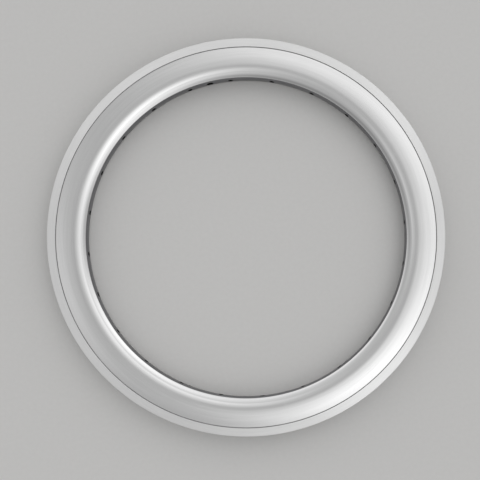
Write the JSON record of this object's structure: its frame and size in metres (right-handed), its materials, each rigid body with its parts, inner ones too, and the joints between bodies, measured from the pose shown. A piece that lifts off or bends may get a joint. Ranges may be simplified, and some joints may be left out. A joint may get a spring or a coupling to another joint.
{
  "type": "bicycle rim",
  "caption": "Deep hollow aluminium bicycle rim with a hooked tyre channel, flat machined brake tracks, bulged polished sides and a rounded bed drilled for spokes and a valve.",
  "frame": {"origin": "centre of the rim on the axle axis, at its mid-plane", "axes": "+Z along the axle axis, up as the rim lies flat; +Y radially out through the valve hole"},
  "size_m": [0.4176, 0.4176, 0.0224],
  "materials": {
    "polished_aluminium": "polished sides, turned brake tracks, satin extruded spoke bed and tyre channel"
  },
  "bodies": {
    "root": {"rim": "polished_aluminium"}
  },
  "joints": []
}
